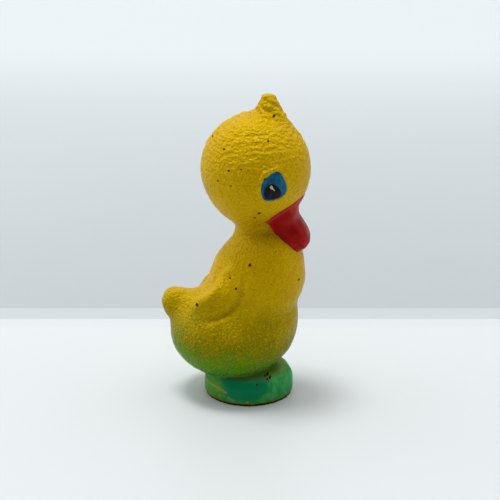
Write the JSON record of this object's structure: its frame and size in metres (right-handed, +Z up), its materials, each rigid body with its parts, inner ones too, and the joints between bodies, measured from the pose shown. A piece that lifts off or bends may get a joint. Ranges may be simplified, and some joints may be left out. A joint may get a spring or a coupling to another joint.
{
  "type": "squeak toy",
  "caption": "Hollow moulded rubber duckling with a bowed head, standing on a round plinth, with painted eyes, bill and plinth and a metal reed squeaker in its base.",
  "frame": {"origin": "on the floor under the middle of the toy's length and width; the plinth's axis is 6.7 mm in front of it", "axes": "+Z up; the duckling faces -Y; its left side is +X, and X = 0 is its plane of symmetry"},
  "size_m": [0.0568, 0.0738, 0.1498],
  "materials": {
    "yellow_rubber": "satin paint on pebbled rubber, fading to green low on the body",
    "green_paint": "satin paint, worn at the rim",
    "red_paint": "satin paint",
    "blue_paint": "satin paint",
    "black_paint": "gloss paint",
    "cream_paint": "satin paint",
    "stamped_brass": "dull tarnished sheet",
    "cast_brass": "cast and filed",
    "spring_brass": "rolled strip",
    "rivet_steel": "plain"
  },
  "bodies": {
    "toy": {"rubber_skin": "yellow_rubber", "plinth_paint": "green_paint", "bill_paint": "red_paint", "eye_blue_right": "blue_paint", "eye_blue_left": "blue_paint", "pupil_right": "black_paint", "pupil_left": "black_paint", "eye_glint_right": "cream_paint", "eye_glint_left": "cream_paint", "squeaker_cup": "stamped_brass", "squeaker_lid": "stamped_brass", "reed_block": "cast_brass", "reed_clamp": "cast_brass", "reed_rivets": "rivet_steel"},
    "reed": {"reed": "spring_brass"}
  },
  "joints": [
    {"name": "reed_flex", "type": "hinge", "parent": "toy", "child": "reed", "pos_m": [0, -0.0022, 0.00492], "axis": [-1, 0, 0], "range_deg": [-1.5, 3], "stiffness_Nm_per_rad": 0.001}
  ]
}
